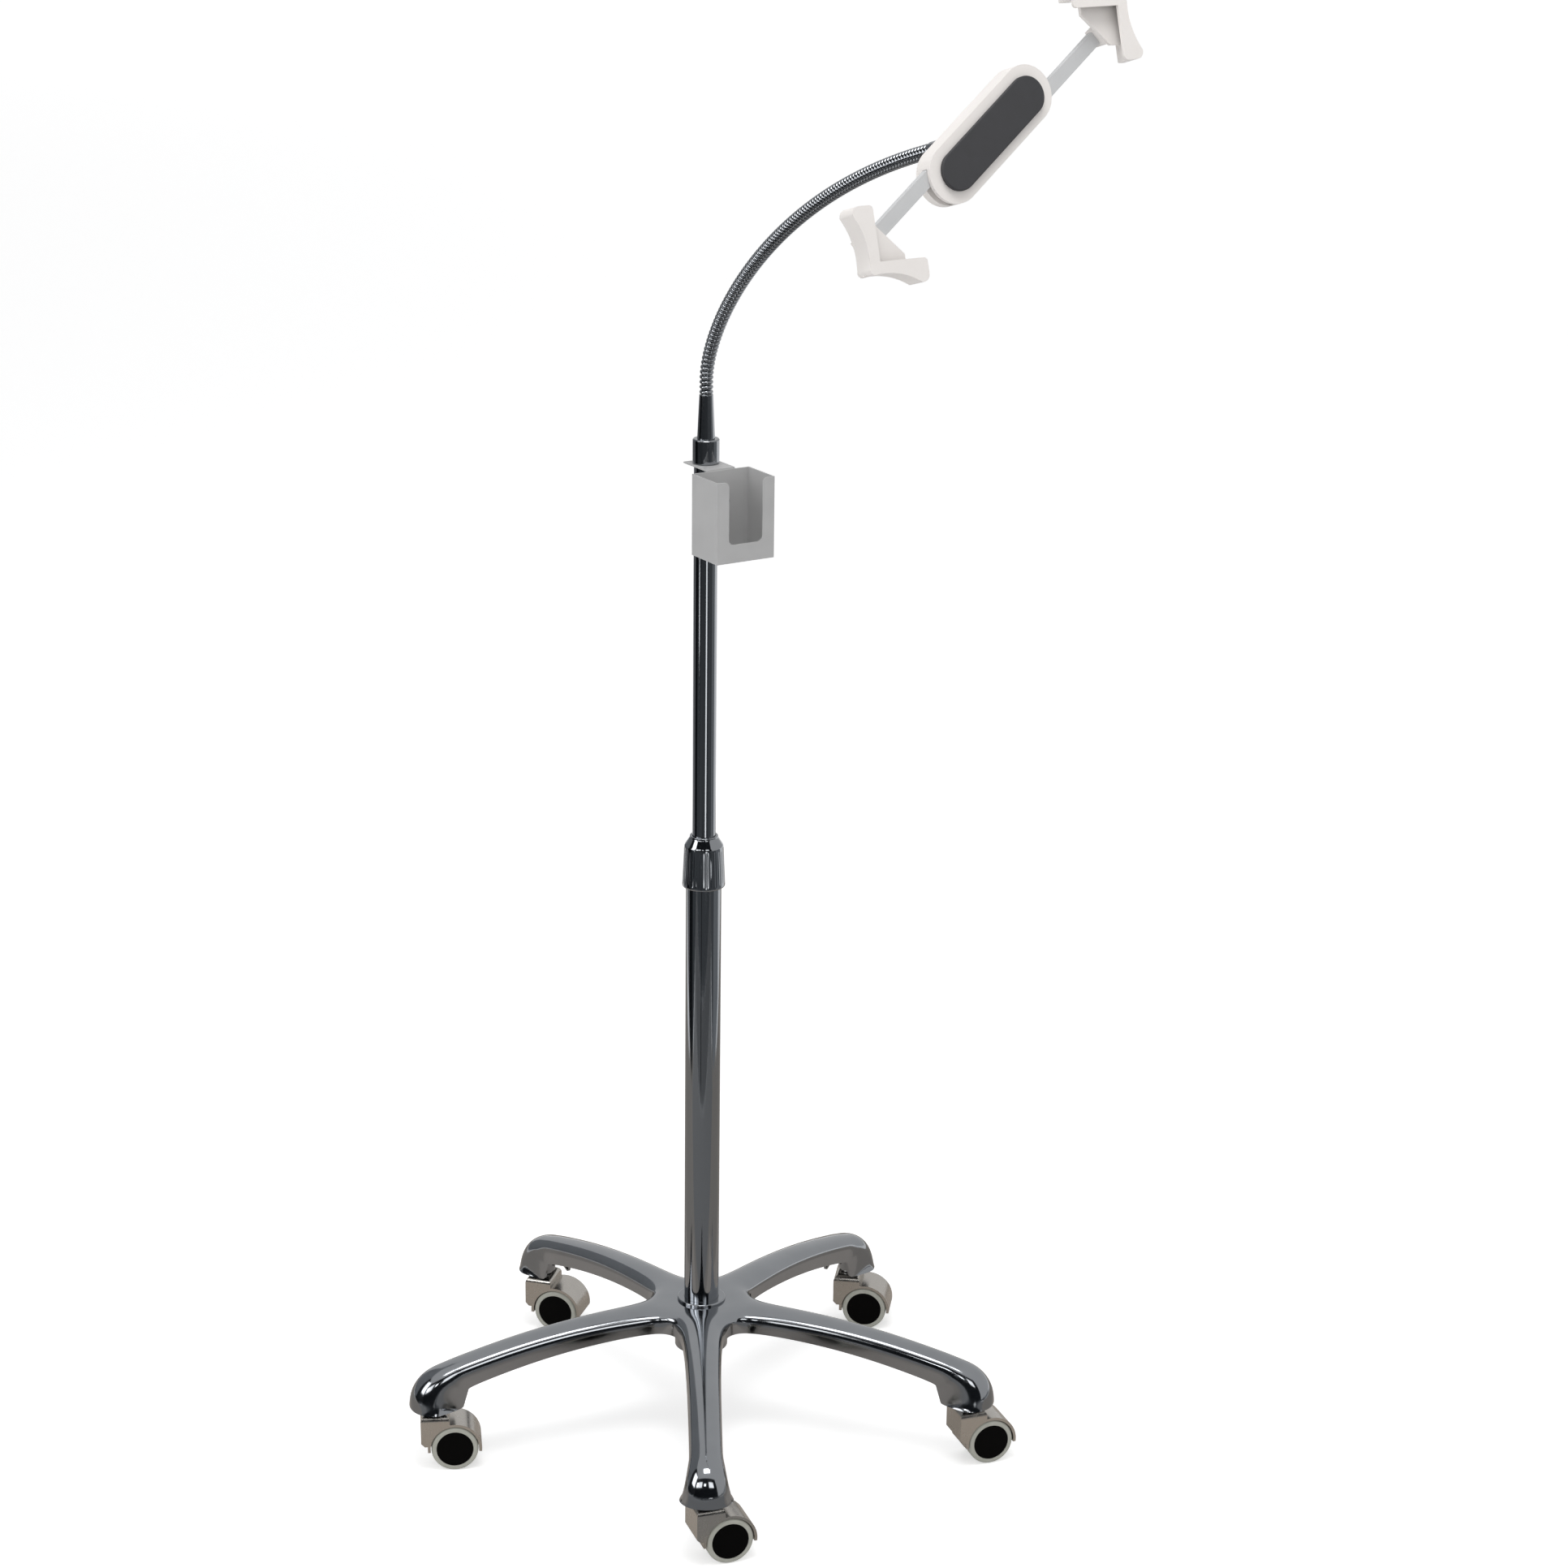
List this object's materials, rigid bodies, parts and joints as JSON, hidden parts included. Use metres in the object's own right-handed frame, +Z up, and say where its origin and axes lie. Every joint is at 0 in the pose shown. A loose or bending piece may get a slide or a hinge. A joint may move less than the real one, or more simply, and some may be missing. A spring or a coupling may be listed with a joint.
{
  "type": "adjustable tablet floor stand",
  "caption": "Rolling floor stand for a tablet: chromed arm base on hooded casters, telescopic column, sheet pocket, ribbed gooseneck and a corner-grip holder on a ball joint.",
  "frame": {"origin": "On the floor, under the column's axis.", "axes": "+Z up along the column; the gooseneck leans towards -Y and the holder faces -Y; +X to the right of someone who looks at the holder's face."},
  "size_m": [0.6574, 0.8714, 1.6205],
  "materials": {
    "base_alloy": "polished",
    "chrome": "polished",
    "steel_plain": "satin",
    "sheet_paint": "satin",
    "white_plastic": "satin",
    "arm_plastic": "satin",
    "nylon": "matte",
    "knob_plastic": "matte",
    "pad_rubber": "matte",
    "wheel_nylon": "satin",
    "cap_black": "satin"
  },
  "bodies": {
    "base": {"base_spider": "base_alloy", "hub_ring": "chrome", "lower_tube": "chrome", "column_plug": "nylon", "base_bolt": "steel_plain", "caster_stems": "steel_plain", "collet": "nylon"},
    "collar": {"lock_collar": "chrome"},
    "carrier": {"guide_bush": "nylon"},
    "mast": {"upper_tube": "chrome", "top_sleeve": "chrome", "neck_socket": "chrome", "pocket": "sheet_paint", "pocket_bracket": "sheet_paint", "pocket_screws": "steel_plain"},
    "neck": {"gooseneck": "chrome"},
    "tip": {"neck_end": "chrome", "ball_stud": "steel_plain"},
    "cup": {"friction_cup": "nylon"},
    "socket": {"ball_socket": "white_plastic"},
    "ring": {"lock_ring": "white_plastic"},
    "holder": {"rear_cover": "white_plastic", "front_cover": "white_plastic", "rest_pad": "pad_rubber", "cover_screws": "steel_plain"},
    "pinion": {"pinion": "nylon"},
    "lower_arm": {"arm_lower": "arm_plastic", "grip_lower": "white_plastic", "pad_lower": "pad_rubber", "grip_screws_lower": "steel_plain"},
    "upper_arm": {"arm_upper": "arm_plastic", "grip_upper": "white_plastic", "pad_upper": "pad_rubber", "grip_screws_upper": "steel_plain"},
    "knob": {"lock_knob": "knob_plastic"},
    "caster_1": {"caster_1_hood": "chrome"},
    "caster_1_wheel_left": {"caster_1_wheel_left": "wheel_nylon", "caster_1_cap_left": "cap_black"},
    "caster_1_wheel_right": {"caster_1_wheel_right": "wheel_nylon", "caster_1_cap_right": "cap_black"},
    "caster_2": {"caster_2_hood": "chrome"},
    "caster_2_wheel_left": {"caster_2_wheel_left": "wheel_nylon", "caster_2_cap_left": "cap_black"},
    "caster_2_wheel_right": {"caster_2_wheel_right": "wheel_nylon", "caster_2_cap_right": "cap_black"},
    "caster_3": {"caster_3_hood": "chrome"},
    "caster_3_wheel_left": {"caster_3_wheel_left": "wheel_nylon", "caster_3_cap_left": "cap_black"},
    "caster_3_wheel_right": {"caster_3_wheel_right": "wheel_nylon", "caster_3_cap_right": "cap_black"},
    "caster_4": {"caster_4_hood": "chrome"},
    "caster_4_wheel_left": {"caster_4_wheel_left": "wheel_nylon", "caster_4_cap_left": "cap_black"},
    "caster_4_wheel_right": {"caster_4_wheel_right": "wheel_nylon", "caster_4_cap_right": "cap_black"},
    "caster_5": {"caster_5_hood": "chrome"},
    "caster_5_wheel_left": {"caster_5_wheel_left": "wheel_nylon", "caster_5_cap_left": "cap_black"},
    "caster_5_wheel_right": {"caster_5_wheel_right": "wheel_nylon", "caster_5_cap_right": "cap_black"}
  },
  "joints": [
    {"name": "height_slide", "type": "slide", "parent": "base", "child": "carrier", "axis": [0, 0, 1], "range_m": [-0.3, 0.12]},
    {"name": "mast_turn", "type": "hinge", "parent": "carrier", "child": "mast", "pos_m": [0, 0, 1], "axis": [0, 0, 1], "continuous": true},
    {"name": "collar_twist", "type": "hinge", "parent": "base", "child": "collar", "pos_m": [0, 0, 0.66], "axis": [0, 0, 1], "range_deg": [0, 120]},
    {"name": "neck_lift", "type": "hinge", "parent": "mast", "child": "neck", "pos_m": [0, -0.03, 1.255], "axis": [1, 0, 0], "range_deg": [-25, 25], "deforming": ["gooseneck"]},
    {"name": "neck_bend", "type": "hinge", "parent": "neck", "child": "tip", "pos_m": [0, -0.235, 1.412], "axis": [1, 0, 0], "range_deg": [-35, 35], "deforming": ["gooseneck"]},
    {"name": "head_tilt", "type": "hinge", "parent": "tip", "child": "cup", "pos_m": [0, -0.44889, 1.48394], "axis": [1, 0, 0], "range_deg": [-20, 20]},
    {"name": "head_pan", "type": "hinge", "parent": "cup", "child": "socket", "pos_m": [0, -0.44889, 1.48394], "axis": [0, 0.284, 0.9588], "range_deg": [-20, 20]},
    {"name": "ring_twist", "type": "hinge", "parent": "socket", "child": "ring", "pos_m": [0, -0.44889, 1.48394], "axis": [0, -0.9588, 0.284], "range_deg": [0, 90]},
    {"name": "holder_turn", "type": "hinge", "parent": "socket", "child": "holder", "pos_m": [0, -0.493, 1.497], "axis": [0, -0.9588, 0.284], "continuous": true},
    {"name": "lower_arm_slide", "type": "slide", "parent": "holder", "child": "lower_arm", "axis": [-0.8107, -0.1663, -0.5614], "range_m": [-0.07, 0.006]},
    {"name": "upper_arm_slide", "type": "slide", "parent": "holder", "child": "upper_arm", "axis": [0.8107, 0.1663, 0.5614], "range_m": [-0.07, 0.006]},
    {"name": "pinion_turn", "type": "hinge", "parent": "holder", "child": "pinion", "pos_m": [0, -0.48053, 1.49331], "axis": [0, -0.9588, 0.284], "range_deg": [-675, 62]},
    {"name": "knob_turn", "type": "hinge", "parent": "holder", "child": "knob", "pos_m": [-0.04734, -0.4646, 1.46966], "axis": [0, -0.9588, 0.284], "range_deg": [0, 270]},
    {"name": "caster_1_swivel", "type": "hinge", "parent": "base", "child": "caster_1", "pos_m": [-0.1525, -0.26414, 0.055], "axis": [0, 0, 1], "continuous": true},
    {"name": "caster_1_wheel_left_spin", "type": "hinge", "parent": "caster_1", "child": "caster_1_wheel_left", "pos_m": [-0.13301, -0.26864, 0.0255], "axis": [0.225, 0.9744, 0], "continuous": true},
    {"name": "caster_1_wheel_right_spin", "type": "hinge", "parent": "caster_1", "child": "caster_1_wheel_right", "pos_m": [-0.13301, -0.26864, 0.0255], "axis": [0.225, 0.9744, 0], "continuous": true},
    {"name": "caster_2_swivel", "type": "hinge", "parent": "base", "child": "caster_2", "pos_m": [0.20408, -0.22666, 0.055], "axis": [0, 0, 1], "continuous": true},
    {"name": "caster_2_wheel_left_spin", "type": "hinge", "parent": "caster_2", "child": "caster_2_wheel_left", "pos_m": [0.22365, -0.23082, 0.0255], "axis": [0.2079, 0.9781, 0], "continuous": true},
    {"name": "caster_2_wheel_right_spin", "type": "hinge", "parent": "caster_2", "child": "caster_2_wheel_right", "pos_m": [0.22365, -0.23082, 0.0255], "axis": [0.2079, 0.9781, 0], "continuous": true},
    {"name": "caster_3_swivel", "type": "hinge", "parent": "base", "child": "caster_3", "pos_m": [0.27863, 0.12405, 0.055], "axis": [0, 0, 1], "continuous": true},
    {"name": "caster_3_wheel_left_spin", "type": "hinge", "parent": "caster_3", "child": "caster_3_wheel_left", "pos_m": [0.29395, 0.1112, 0.0255], "axis": [0.6428, 0.766, 0], "continuous": true},
    {"name": "caster_3_wheel_right_spin", "type": "hinge", "parent": "caster_3", "child": "caster_3_wheel_right", "pos_m": [0.29395, 0.1112, 0.0255], "axis": [0.6428, 0.766, 0], "continuous": true},
    {"name": "caster_4_swivel", "type": "hinge", "parent": "base", "child": "caster_4", "pos_m": [-0.03188, 0.30333, 0.055], "axis": [0, 0, 1], "continuous": true},
    {"name": "caster_4_wheel_left_spin", "type": "hinge", "parent": "caster_4", "child": "caster_4_wheel_left", "pos_m": [-0.0185, 0.28847, 0.0255], "axis": [0.7431, 0.6691, 0], "continuous": true},
    {"name": "caster_4_wheel_right_spin", "type": "hinge", "parent": "caster_4", "child": "caster_4_wheel_right", "pos_m": [-0.0185, 0.28847, 0.0255], "axis": [0.7431, 0.6691, 0], "continuous": true},
    {"name": "caster_5_swivel", "type": "hinge", "parent": "base", "child": "caster_5", "pos_m": [-0.29834, 0.06341, 0.055], "axis": [0, 0, 1], "continuous": true},
    {"name": "caster_5_wheel_left_spin", "type": "hinge", "parent": "caster_5", "child": "caster_5_wheel_left", "pos_m": [-0.28036, 0.05465, 0.0255], "axis": [0.4384, 0.8988, 0], "continuous": true},
    {"name": "caster_5_wheel_right_spin", "type": "hinge", "parent": "caster_5", "child": "caster_5_wheel_right", "pos_m": [-0.28036, 0.05465, 0.0255], "axis": [0.4384, 0.8988, 0], "continuous": true}
  ],
  "couplings": [
    {"joint": "upper_arm_slide", "follows": "lower_arm_slide", "ratio": 1},
    {"joint": "pinion_turn", "follows": "lower_arm_slide", "rad_per_m": 166.67}
  ]
}
